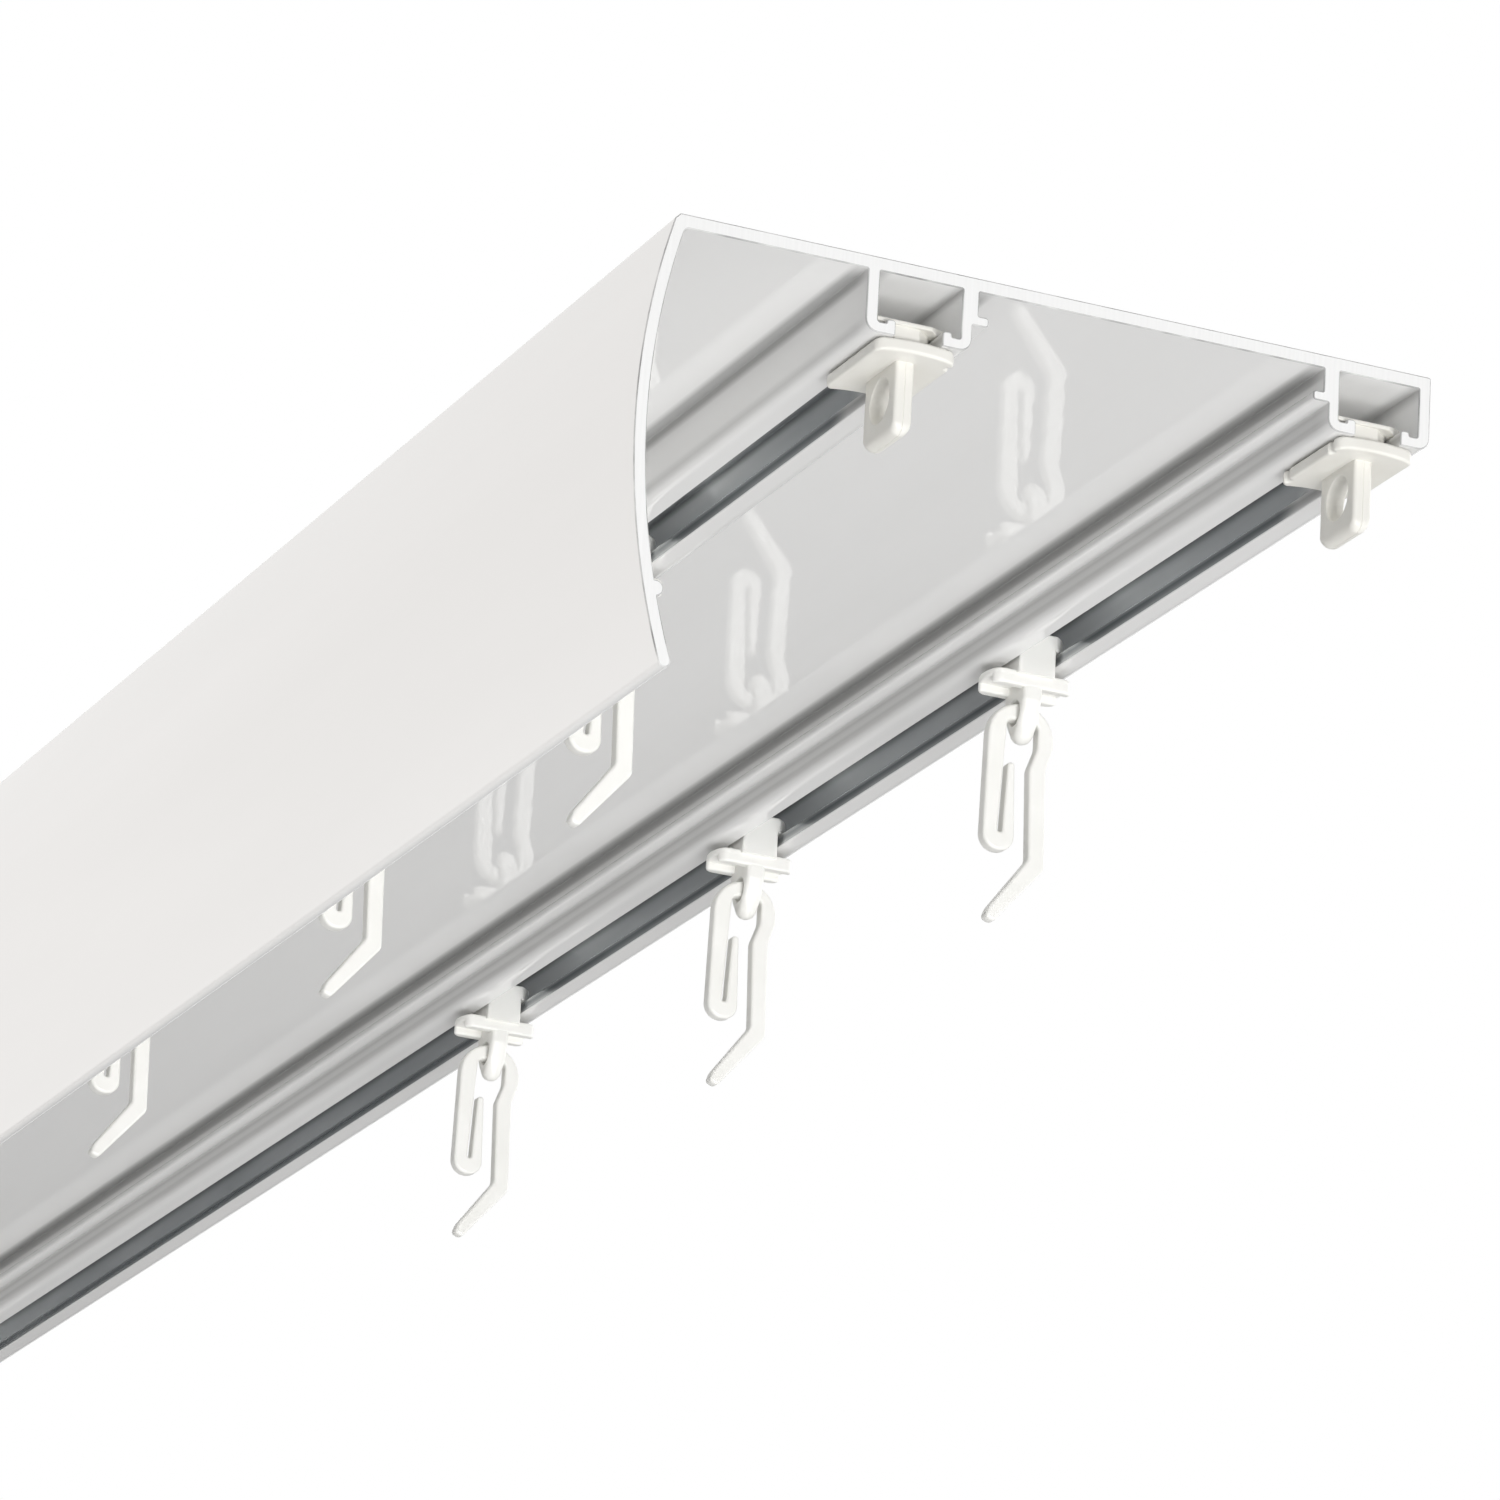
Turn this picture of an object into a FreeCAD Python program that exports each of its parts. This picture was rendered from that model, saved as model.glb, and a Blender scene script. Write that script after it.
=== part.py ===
"""Two-run ceiling curtain track with a curved fascia, its end stops, gliders and curtain hooks.

Millimetres, +Z up.  X runs along the track, the fascia faces -Y (the room) and the window is at +Y.
The origin is the centre of the face that lies against the ceiling.
"""
import FreeCAD, Part
import math
import os

# Track: lengths and the flat top
track_length = 600.0
top_thickness = 1.7
front_margin = 23.7          # from the front edge of the top to the first run
run_pitch = 60.0             # centre to centre of the two runs
top_edge_chamfer = 0.65

# Track: the curved fascia
fascia_drop = 55.0
fascia_radius = 91.2         # outer face
fascia_bulge = 4.15          # how far it bows out in front of the top's front edge
fascia_bulge_depth = 25.5    # depth of the point that bows out furthest
fascia_wall = 1.55
fascia_root_fillet = 0.7
bead_radius = 0.95
bead_depth = 45.8            # depth of the small stiffening bead on the fascia's inner face

# Track: one run, a channel that is open below
run_inner_width = 10.6
run_inner_height = 6.3
run_wall = 1.55
rib_wall = 2.1               # the wall with the clip rib, above the rib
below_rib_wall = 1.4         # the same wall below the rib
lip_thickness = 1.35
slot_width = 6.0
nib_width = 1.15             # upstand along each edge of the slot
nib_height = 0.55
run_corner_radius = 1.5      # outer lower corners
nib_corner = 0.35
rib_corner = 0.4
plate_corner = 0.3
rib_reach = 1.35
rib_thickness = 1.2
rib_depth = 4.7              # from the ceiling face to the top of the rib

# End stop: a plate under the lips, a cam-shaped head in the run, and a tab with an eye
stop_inset = 0.3             # from the cut end of the track to the stop
stop_length = 15.1
stop_plate_width = 10.2
stop_plate_thickness = 1.6
stop_plate_arch = 0.45       # the plate is bowed, so that it springs against the lips
stop_plate_corner = 0.8
stop_head_inset = 0.6
stop_head_thickness = 1.3
stop_head_cam = 2.0          # from the run's centre to where the cut corner starts
stop_lead_length = 2.4
stop_lead_thickness = 0.5
stop_neck_inset = 0.3        # from the end of the head to the end of the neck
stop_neck_cam = 0.6
stop_tab_width = 8.8
stop_tab_thickness = 2.4
stop_tab_drop = 10.3         # from the underside of the lips to the lower end of the tab
stop_tab_corner = 1.3
stop_tab_nose = 1.1          # rounding of the tab's lower end, seen from the end of the track
stop_eye_radius = 2.75
stop_eye_drop = 5.1          # from the underside of the lips to the eye's centre
stop_grip_radius = 0.7       # two small grip scallops on one long side of the plate
stop_grip_spacing = 11.3

# Glider: head on the nibs, neck in the slot, grooved foot below, tab with an eye
glider_head_radius = 4.75
glider_head_height = 2.0
glider_neck_length = 7.9
glider_foot_gap = 1.3        # from the underside of the lips to the foot
glider_foot_radius = 5.9
glider_foot_length = 6.4
glider_foot_thickness = 2.0
glider_groove_width = 3.2    # groove across the underside of the foot
glider_groove_depth = 1.0
glider_tab_width = 6.3
glider_tab_thickness = 2.66
glider_tab_straight = 1.6    # straight part of the tab below the foot
glider_tab_end_radius = 1.9
glider_eye_below_foot = 2.8  # from the underside of the foot to the eye's centre
glider_below_eye = 2.15      # from the eye's centre to the centre of the tab's round end

# Curtain hook, flat, hung by its crown in the glider's eye; drops are from the eye's centre
hook_thickness = 2.0
hook_wire = 2.3              # depth of the crown and width of the shank
hook_bend_radius = 4.6       # outer bends from the crown into the front leg and the shank
hook_leg_width = 2.55        # upper end of the front leg
hook_leg_taper = 0.5         # how much narrower the front leg is at the slit's lower end
hook_leg_lean = 0.25         # how far the front leg leans out at its lower end
hook_loop_drop = 19.0        # lower end of the front leg, where the loop joins it to the short leg
hook_slit_width = 0.7        # lower end of the slit between the front leg and the short leg
hook_slit_drop = 16.5
hook_short_leg_top = 6.95
hook_short_leg_width = 1.8   # at its lower end; half as wide at its upper end
hook_step = 1.0              # how far the shank steps forward below the crown
hook_step_top = 4.5
hook_step_bottom = 7.3
hook_shank_lean = 0.4        # how far the shank leans back again below the step
hook_shank_drop = 20.7       # to the bend where the point starts
hook_point_drop = 28.6
hook_point_reach = 8.0       # how far the point comes forward of the shank's back
hook_small_radius = 0.9

# Clearances
slide_clearance = 0.4        # neck to the sides of the slot
eye_clearance = 0.18         # hook's crown to the glider's eye, all round
front_leg_clearance = 1.12   # glider's tab to the hook's front leg
shank_clearance = 0.62       # glider's tab to the hook's shank
seat_clearance = 0.05        # a glider's head above the nibs
stop_clearance = 0.02        # a stop's plate under the lips
end_clearance = 0.3          # a stop's head to the walls of the run

# Where the gliders are parked: three from the right-hand end of the track, one from the left-hand end
front_parking = [90.4, 176.5, 269.7]
rear_parking = [96.8, 185.0, 279.0]
far_parking = 48.0

# Derived places
top_width = front_margin + run_pitch + run_inner_width + 2 * run_wall
front_edge = -top_width / 2
front_run_y = front_edge + front_margin + run_wall + run_inner_width / 2
rear_run_y = front_run_y + run_pitch
right_end = track_length / 2
half_slot = slot_width / 2
half_run = run_inner_width / 2
lip_top = -(top_thickness + run_inner_height)
lip_bottom = lip_top - lip_thickness
nib_top = lip_top + nib_height
glider_eye_radius = math.hypot(hook_thickness, hook_wire) / 2 + eye_clearance
UP = FreeCAD.Vector(0, 0, 1)
BACK = FreeCAD.Vector(0, 1, 0)
tolerance = 0.01             # for picking level and upright edges


def rounded_wire(corners, place):
    """Closed wire through corners (a, b, radius) joined by straight runs; place(a, b) gives the 3-D point."""
    count = len(corners)
    arcs = []
    for i, (a, b, radius) in enumerate(corners):
        before = corners[i - 1]
        after = corners[(i + 1) % count]
        corner = FreeCAD.Vector(a, b, 0)
        back = (FreeCAD.Vector(before[0], before[1], 0) - corner).normalize()
        ahead = (FreeCAD.Vector(after[0], after[1], 0) - corner).normalize()
        half_angle = back.getAngle(ahead) / 2
        reach = radius / math.tan(half_angle)
        inward = (back + ahead).normalize()
        middle = corner + inward * (radius / math.sin(half_angle) - radius)
        arcs.append((corner + back * reach, middle, corner + ahead * reach))
    edges = []
    for i, (start, middle, end) in enumerate(arcs):
        following = arcs[(i + 1) % count][0]
        p_start, p_middle, p_end = [place(p.x, p.y) for p in (start, middle, end)]
        if (start - end).Length > 1e-6:
            edges.append(Part.Arc(p_start, p_middle, p_end).toShape())
        if (following - end).Length > 1e-6:
            edges.append(Part.LineSegment(p_end, place(following.x, following.y)).toShape())
    return Part.Wire(edges)


def straight_edges(points):
    """Edges that join the points in order."""
    return [Part.LineSegment(start, end).toShape() for start, end in zip(points, points[1:])]


def section_face(corners):
    """Face across the track: corners are (y, z, radius)."""
    return Part.Face(rounded_wire(corners, lambda y, z: FreeCAD.Vector(0, y, z)))


def plan_face(corners, z):
    """Level face at height z: corners are (x, y, radius)."""
    return Part.Face(rounded_wire(corners, lambda x, y: FreeCAD.Vector(x, y, z)))


def side_face(corners, y):
    """Upright face along the track at y: corners are (x, z, radius)."""
    return Part.Face(rounded_wire(corners, lambda x, z: FreeCAD.Vector(x, y, z)))


# Track


def on_fascia(radius, height_angle):
    """Point on an arc about the fascia's centre of curvature; the angle is up from the bulge."""
    centre = FreeCAD.Vector(0, front_edge - fascia_bulge + fascia_radius, -fascia_bulge_depth)
    return centre + FreeCAD.Vector(0, -radius * math.cos(height_angle), radius * math.sin(height_angle))


def top_section():
    """The flat top; its front edge is sunk to the middle of the fascia's wall."""
    back_edge = front_edge + top_width
    middle_radius = fascia_radius - fascia_wall / 2
    start = on_fascia(middle_radius, math.asin((fascia_bulge_depth - top_thickness / 2) / middle_radius)).y
    return section_face([
        (start, 0, 0),
        (back_edge, 0, plate_corner),
        (back_edge, -top_thickness, plate_corner),
        (start, -top_thickness, 0),
    ])


def fascia_wall_section():
    """The bowed fascia: a wall between two arcs that run from the ceiling face to a round tip."""
    tip_radius = fascia_wall / 2
    middle_radius = fascia_radius - tip_radius
    inner_radius = fascia_radius - fascia_wall
    outer_top = math.asin(fascia_bulge_depth / fascia_radius)
    inner_top = math.asin(fascia_bulge_depth / inner_radius)
    tip_angle = -math.asin((fascia_drop - tip_radius - fascia_bulge_depth) / middle_radius)
    half_way = (outer_top + tip_angle) / 2
    outer = Part.Arc(on_fascia(fascia_radius, outer_top), on_fascia(fascia_radius, half_way),
                     on_fascia(fascia_radius, tip_angle))
    inner = Part.Arc(on_fascia(inner_radius, tip_angle), on_fascia(inner_radius, half_way),
                     on_fascia(inner_radius, inner_top))
    lowest = on_fascia(middle_radius, tip_angle - tip_radius / middle_radius)
    tip = Part.Arc(on_fascia(fascia_radius, tip_angle), lowest, on_fascia(inner_radius, tip_angle))
    head = Part.LineSegment(on_fascia(inner_radius, inner_top), on_fascia(fascia_radius, outer_top))
    return Part.Face(Part.Wire([outer.toShape(), tip.toShape(), inner.toShape(), head.toShape()]))


def bead_section():
    """The bead: a round bar whose outer half is sunk in the fascia's wall."""
    inner_radius = fascia_radius - fascia_wall
    angle = -math.asin((bead_depth - fascia_bulge_depth) / inner_radius)
    rim = Part.Circle(on_fascia(inner_radius, angle), FreeCAD.Vector(1, 0, 0), bead_radius)
    return Part.Face(Part.Wire([rim.toShape()]))


def plain_wall_section(run_y, side):
    """The wall and lip without the rib; side is the direction of the other wall, which has the rib."""
    outer = -(half_run + run_wall)
    inner_top = -top_thickness / 2
    corners = [
        (outer, inner_top, 0),
        (outer, lip_bottom, run_corner_radius),
        (-half_slot, lip_bottom, 0),
        (-half_slot, nib_top, nib_corner),
        (-half_slot - nib_width, nib_top, nib_corner),
        (-half_slot - nib_width, lip_top, 0),
        (-half_run, lip_top, 0),
        (-half_run, inner_top, 0),
    ]
    return section_face([(run_y + side * u, z, radius) for u, z, radius in corners])


def rib_wall_section(run_y, side):
    """The wall, rib and lip on the side that faces the other run."""
    inner_top = -top_thickness / 2
    rib_tip = half_run + rib_wall + rib_reach
    rib_bottom = -(rib_depth + rib_thickness)
    corners = [
        (half_run, inner_top, 0),
        (half_run, lip_top, 0),
        (half_slot + nib_width, lip_top, 0),
        (half_slot + nib_width, nib_top, nib_corner),
        (half_slot, nib_top, nib_corner),
        (half_slot, lip_bottom, 0),
        (half_run + below_rib_wall, lip_bottom, run_corner_radius),
        (half_run + below_rib_wall, rib_bottom, 0),
        (rib_tip, rib_bottom, rib_corner),
        (rib_tip, -rib_depth, rib_corner),
        (half_run + rib_wall, -rib_depth, 0),
        (half_run + rib_wall, inner_top, 0),
    ]
    return section_face([(run_y + side * u, z, radius) for u, z, radius in corners])


def track_profile():
    """The whole track is one extrusion: the same length of top, fascia, walls and lips, all one piece."""
    sections = [
        top_section(),
        fascia_wall_section(),
        bead_section(),
        plain_wall_section(front_run_y, 1),
        rib_wall_section(front_run_y, 1),
        plain_wall_section(rear_run_y, -1),
        rib_wall_section(rear_run_y, -1),
    ]
    lengths = [section.extrude(FreeCAD.Vector(track_length, 0, 0)) for section in sections]
    track = lengths[0].fuse(lengths[1:]).removeSplitter().Solids[0]
    track = track.makeFillet(fascia_root_fillet, fascia_edges(track, -top_thickness))
    track = track.makeChamfer(top_edge_chamfer, fascia_edges(track, 0)[:1])
    track.translate(FreeCAD.Vector(-right_end, 0, 0))
    return track


def fascia_edges(track, z):
    """The long straight edges at height z by the fascia, from the outermost in."""
    found = []
    for edge in track.Edges:
        box = edge.BoundBox
        level = abs(box.ZMax - z) < tolerance and abs(box.ZMin - z) < tolerance
        if level and box.XLength > track_length / 2 and box.YMax < front_edge + front_margin / 2:
            found.append(edge)
    return sorted(found, key=lambda edge: edge.BoundBox.YMin)


# End stops


def cam_plan(half_length, half_width, cam_start, z):
    """Plan with two opposite corners cut off at 45 degrees, so that a turn jams the piece in the run."""
    slant = half_width - cam_start
    return plan_face([
        (half_length, -half_width, 0),
        (half_length, cam_start, 0),
        (half_length - slant, half_width, 0),
        (-half_length, half_width, 0),
        (-half_length, -cam_start, 0),
        (slant - half_length, -half_width, 0),
    ], z)


def stop_head():
    """Head in the run, thinned to a lead at both ends, and a neck in the slot, down into the plate."""
    half_length = stop_length / 2 - stop_head_inset
    half_width = half_run - end_clearance
    bottom = nib_top + seat_clearance
    top = bottom + stop_head_thickness
    head = cam_plan(half_length, half_width, stop_head_cam, bottom).extrude(UP * stop_head_thickness)
    lead = side_face([
        (-half_length, bottom, 0),
        (-half_length, bottom + stop_lead_thickness, 0),
        (-half_length + stop_lead_length, top, 0),
        (half_length - stop_lead_length, top, 0),
        (half_length, bottom + stop_lead_thickness, 0),
        (half_length, bottom, 0),
    ], -half_width)
    head = head.common(lead.extrude(FreeCAD.Vector(0, 2 * half_width, 0)))
    neck_bottom = lip_bottom - stop_plate_thickness / 2
    neck_height = bottom + stop_lead_thickness / 2 - neck_bottom
    neck = cam_plan(half_length - stop_neck_inset, half_slot - slide_clearance, stop_neck_cam, neck_bottom)
    return head.fuse(neck.extrude(UP * neck_height))


def stop_plate():
    """Bowed plate that bears on the undersides of the two lips at the edges of the slot."""
    half_width = stop_plate_width / 2
    share = (half_slot / half_width) ** 2
    crest = lip_bottom - stop_clearance + stop_plate_arch * share
    edge = crest - stop_plate_arch

    def arch(drop):
        ends = [FreeCAD.Vector(0, y, edge - drop) for y in (-half_width, half_width)]
        return Part.Arc(ends[0], FreeCAD.Vector(0, 0, crest - drop), ends[1]).toShape()

    top = arch(0)
    bottom = arch(stop_plate_thickness)
    sides = [Part.LineSegment(top.Vertexes[i].Point, bottom.Vertexes[i].Point).toShape() for i in (0, 1)]
    face = Part.Face(Part.Wire([top, sides[0], bottom, sides[1]]))
    face.translate(FreeCAD.Vector(-stop_length / 2, 0, 0))
    plate = face.extrude(FreeCAD.Vector(stop_length, 0, 0))
    upright = [e for e in plate.Edges if max(e.BoundBox.XLength, e.BoundBox.YLength) < tolerance]
    plate = plate.makeFillet(stop_plate_corner, upright)
    for along in (-1, 1):
        place = FreeCAD.Vector(along * stop_grip_spacing / 2, -half_width - stop_grip_radius / 3, edge)
        place.z -= 2 * stop_plate_thickness
        plate = plate.cut(Part.makeCylinder(stop_grip_radius, 4 * stop_plate_thickness, place))
    return plate


def stop_tab():
    """Flat tab with the eye; its lower end is rounded over."""
    half_width = stop_tab_width / 2
    half_thickness = stop_tab_thickness / 2
    top = lip_bottom - stop_plate_thickness / 2
    bottom = lip_bottom - stop_tab_drop
    broad = side_face([
        (-half_width, top, 0),
        (half_width, top, 0),
        (half_width, bottom, stop_tab_corner),
        (-half_width, bottom, stop_tab_corner),
    ], -half_thickness)
    edge_on = section_face([
        (-half_thickness, top, 0),
        (half_thickness, top, 0),
        (half_thickness, bottom, stop_tab_nose),
        (-half_thickness, bottom, stop_tab_nose),
    ])
    edge_on.translate(FreeCAD.Vector(-half_width, 0, 0))
    tab = broad.extrude(FreeCAD.Vector(0, stop_tab_thickness, 0))
    tab = tab.common(edge_on.extrude(FreeCAD.Vector(stop_tab_width, 0, 0)))
    start = FreeCAD.Vector(0, -stop_tab_thickness, lip_bottom - stop_eye_drop)
    return tab.cut(Part.makeCylinder(stop_eye_radius, 2 * stop_tab_thickness, start, BACK))


def end_stop(run_y, end):
    """One moulded piece; end is 1 at the right and -1 at the left.  The grip side faces the room at the rear run."""
    stop = stop_plate().fuse([stop_head(), stop_tab()]).removeSplitter()
    if run_y == front_run_y:
        stop.rotate(FreeCAD.Vector(0, 0, 0), UP, 180)
    stop.translate(FreeCAD.Vector(end * (right_end - stop_inset - stop_length / 2), run_y, 0))
    return stop


# Gliders


def disc_with_flats(radius, length, z, height):
    """Round plate cut to a length along the track by two flats."""
    disc = Part.makeCylinder(radius, height, FreeCAD.Vector(0, 0, z))
    slab = Part.makeBox(length, 2 * radius, height, FreeCAD.Vector(-length / 2, -radius, z))
    return disc.common(slab)


def glider_foot_bottom():
    return lip_bottom - glider_foot_gap - glider_foot_thickness


def glider_eye_z():
    return glider_foot_bottom() - glider_eye_below_foot


def glider_head():
    """Head that runs on the nibs inside the channel."""
    bottom = nib_top + seat_clearance
    return disc_with_flats(glider_head_radius, glider_neck_length, bottom, glider_head_height)


def glider_neck():
    """Block that runs in the slot."""
    width = slot_width - 2 * slide_clearance
    bottom = lip_bottom - glider_foot_gap - glider_foot_thickness / 4
    height = nib_top + seat_clearance + glider_head_height / 2 - bottom
    corner = FreeCAD.Vector(-glider_neck_length / 2, -width / 2, bottom)
    return Part.makeBox(glider_neck_length, width, height, corner)


def glider_foot():
    """Foot below the track, with a groove across its underside."""
    bottom = glider_foot_bottom()
    foot = disc_with_flats(glider_foot_radius, glider_foot_length, bottom, glider_foot_thickness)
    corner = FreeCAD.Vector(-glider_groove_width / 2, -glider_foot_radius, bottom - glider_groove_depth)
    groove = Part.makeBox(glider_groove_width, 2 * glider_foot_radius, 2 * glider_groove_depth, corner)
    return foot.cut(groove)


def glider_tab():
    """Tab that tapers, by tangents, to a round lower end, with the eye for the hook."""
    half_width = glider_tab_width / 2
    top = glider_foot_bottom() + glider_foot_thickness / 4
    shoulder = glider_foot_bottom() - glider_tab_straight
    end_centre = glider_eye_z() - glider_below_eye
    reach = math.hypot(half_width, shoulder - end_centre)
    touch = math.atan2(shoulder - end_centre, half_width) - math.acos(glider_tab_end_radius / reach)
    touch_x = glider_tab_end_radius * math.cos(touch)
    touch_z = end_centre + glider_tab_end_radius * math.sin(touch)
    front = -glider_tab_thickness / 2
    right = [FreeCAD.Vector(half_width, front, top), FreeCAD.Vector(half_width, front, shoulder),
             FreeCAD.Vector(touch_x, front, touch_z)]
    left = [FreeCAD.Vector(-point.x, front, point.z) for point in reversed(right)]
    lowest = FreeCAD.Vector(0, front, end_centre - glider_tab_end_radius)
    round_end = Part.Arc(right[-1], lowest, left[0]).toShape()
    outline = Part.Wire(straight_edges(right) + [round_end] + straight_edges(left + right[:1]))
    tab = Part.Face(outline).extrude(BACK * glider_tab_thickness)
    start = FreeCAD.Vector(0, -glider_tab_thickness, glider_eye_z())
    return tab.cut(Part.makeCylinder(glider_eye_radius, 2 * glider_tab_thickness, start, BACK))


def glider(run_y, x):
    """One moulded glider."""
    body = glider_foot().fuse([glider_neck(), glider_head(), glider_tab()]).removeSplitter()
    body.translate(FreeCAD.Vector(x, run_y, 0))
    return body


# Hooks


def hook_outline():
    """Once round the hook, as (y from the glider's centre, z from the eye's centre, radius)."""
    crown = hook_wire / 2
    leg = -(glider_tab_thickness / 2 + front_leg_clearance)
    foot = leg - hook_leg_width - hook_leg_lean
    slit = foot + hook_leg_width - hook_leg_taper
    short_leg = slit + hook_slit_width + hook_short_leg_width
    short_leg_top = short_leg - hook_short_leg_width / 4
    shank = glider_tab_thickness / 2 + shank_clearance
    step = shank - hook_step
    bend = step + hook_shank_lean
    point = bend + hook_wire - hook_point_reach
    front_leg = [
        (foot, -hook_loop_drop, 2.2),
        (leg - hook_leg_width, crown, hook_bend_radius),
    ]
    back_of_shank = [
        (shank + hook_wire, crown, hook_bend_radius),
        (shank + hook_wire, -hook_step_top, 1.5),
        (step + hook_wire, -hook_step_bottom, 1.5),
        (bend + hook_wire, -hook_shank_drop, hook_small_radius),
    ]
    blunt_point = [
        (point + 1.3, -hook_point_drop, 0.65),
        (point, 0.5 - hook_point_drop, 0.65),
        (point + 0.5, 1.9 - hook_point_drop, 0),
    ]
    front_of_shank = [
        (bend, 1.1 - hook_shank_drop, hook_small_radius),
        (step, -hook_step_bottom, 1.5),
        (shank, -hook_step_top, 1.5),
        (shank, -crown, hook_small_radius),
        (leg, -crown, hook_small_radius),
    ]
    slit_and_short_leg = [
        (slit, -hook_slit_drop, 0),
        (slit + hook_slit_width, -hook_slit_drop, 0),
        (short_leg_top - hook_short_leg_width / 2, -hook_short_leg_top, 0),
        (short_leg_top, -hook_short_leg_top, 0),
        (short_leg, -hook_loop_drop, 2.0),
    ]
    return front_leg + back_of_shank + blunt_point + front_of_shank + slit_and_short_leg


def hook(run_y, x):
    """One flat moulded hook, the same thickness all over."""
    eye_z = glider_eye_z()
    face = section_face([(y, z + eye_z, radius) for y, z, radius in hook_outline()])
    body = face.extrude(FreeCAD.Vector(hook_thickness, 0, 0))
    body.translate(FreeCAD.Vector(x - hook_thickness / 2, run_y, 0))
    return body


def write(name, shape):
    """Write one node as one STEP file."""
    shape.exportStep(os.path.join("parts", name + ".step"))
    print(name, len(shape.Solids), shape.isValid(), round(shape.Volume, 2))


def main():
    os.makedirs("parts", exist_ok=True)
    write("track_profile", track_profile())
    runs = [("front", front_run_y, front_parking), ("rear", rear_run_y, rear_parking)]
    for run, run_y, parking in runs:
        write("end_stop_" + run + "_right", end_stop(run_y, 1))
        write("end_stop_" + run + "_left", end_stop(run_y, -1))
        places = [right_end - station for station in parking] + [far_parking - right_end]
        for number, x in enumerate(places, start=1):
            write("glider_%s_%d" % (run, number), glider(run_y, x))
            write("hook_%s_%d" % (run, number), hook(run_y, x))


main()
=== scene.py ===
"""Looks of a two-run ceiling curtain track: coated profile, end stops, gliders and curtain hooks.

Sizes are in millimetres and are turned into metres where a mesh is made.  X runs along the track,
the fascia faces -Y, and the ceiling is at z = 0.  A surface is a grid of points, worked out as whole
arrays: an outline, carried ring by ring along a line.
"""
import math
import bmesh
import bpy
import numpy as np
from mathutils import Matrix, Vector


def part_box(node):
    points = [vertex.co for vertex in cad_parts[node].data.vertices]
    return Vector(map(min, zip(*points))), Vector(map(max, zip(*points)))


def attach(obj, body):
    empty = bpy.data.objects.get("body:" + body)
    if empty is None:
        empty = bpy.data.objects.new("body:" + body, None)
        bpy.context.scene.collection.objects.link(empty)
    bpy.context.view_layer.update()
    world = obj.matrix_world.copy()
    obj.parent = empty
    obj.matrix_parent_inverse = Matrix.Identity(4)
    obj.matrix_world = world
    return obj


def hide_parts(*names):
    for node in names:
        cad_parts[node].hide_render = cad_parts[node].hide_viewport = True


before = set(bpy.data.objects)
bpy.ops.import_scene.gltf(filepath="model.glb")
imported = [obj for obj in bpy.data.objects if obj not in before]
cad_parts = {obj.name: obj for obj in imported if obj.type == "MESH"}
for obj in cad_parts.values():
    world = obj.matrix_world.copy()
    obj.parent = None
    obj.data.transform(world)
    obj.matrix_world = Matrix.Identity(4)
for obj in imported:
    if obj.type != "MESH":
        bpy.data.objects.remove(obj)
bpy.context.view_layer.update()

MM = 0.001

# Places read from the frame
track_low, track_high = (np.array(corner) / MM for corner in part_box("track_profile"))
LEFT_END, RIGHT_END = track_low[0], track_high[0]
BACK_EDGE = track_high[1]

# Track section
TOP_WIDTH = 97.4
TOP_THICKNESS = 1.7
FRONT_EDGE = BACK_EDGE - TOP_WIDTH
TOP_EDGE_CHAMFER = 0.65
PLATE_CORNER = 0.3
RUN_PITCH = 60.0
RUN_INNER = 10.6
RUN_HEIGHT = 6.3
RUN_WALL = 1.55
RIB_WALL = 2.1
BELOW_RIB_WALL = 1.4
RUN_CORNER = 1.5
RUN_INNER_CORNER = 0.3
LIP = 1.35
SLOT = 6.0
SLOT_EDGE = 0.2
NIB_WIDTH = 1.15
NIB_HEIGHT = 0.55
NIB_CORNER = 0.35
RIB_REACH = 1.35
RIB_THICKNESS = 1.2
RIB_DEPTH = 4.7
RIB_CORNER = 0.4
CUT_EDGE = 0.15
FASCIA_DROP = 55.0
FASCIA_RADIUS = 91.2
FASCIA_BULGE = 4.15
FASCIA_BULGE_DEPTH = 25.5
FASCIA_WALL = 1.55
FASCIA_ROOT = 0.7
BEAD_RADIUS = 0.95
BEAD_DEPTH = 45.8

REAR_RUN = BACK_EDGE - RUN_WALL - RUN_INNER / 2
FRONT_RUN = REAR_RUN - RUN_PITCH
LIP_TOP = -(TOP_THICKNESS + RUN_HEIGHT)
LIP_BOTTOM = LIP_TOP - LIP
NIB_TOP = LIP_TOP + NIB_HEIGHT

# End stop
STOP_LENGTH = 15.1
STOP_PLATE_WIDTH = 10.2
STOP_PLATE_THICKNESS = 1.6
STOP_ARCH = 0.45
STOP_CORNER = 1.2
STOP_EDGE = 0.4
STOP_SCALLOP = 0.7
STOP_SCALLOP_SPACING = 11.3
STOP_HEAD_INSET = 0.6
STOP_HEAD_THICKNESS = 1.3
STOP_HEAD_WIDTH = 10.0
STOP_HEAD_CAM = 2.0
STOP_LEAD_LENGTH = 2.4
STOP_LEAD_THICKNESS = 0.5
STOP_NECK_WIDTH = 5.2
STOP_NECK_CAM = 0.6
STOP_TAB_WIDTH = 8.8
STOP_TAB_THICKNESS = 2.4
STOP_TAB_DROP = 10.3
STOP_TAB_CORNER = 1.4
STOP_TAB_EDGE = 0.45
STOP_TAB_NOSE = 1.1
STOP_EYE_DROP = 5.1
STOP_EYE_RADIUS = 2.75

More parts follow.
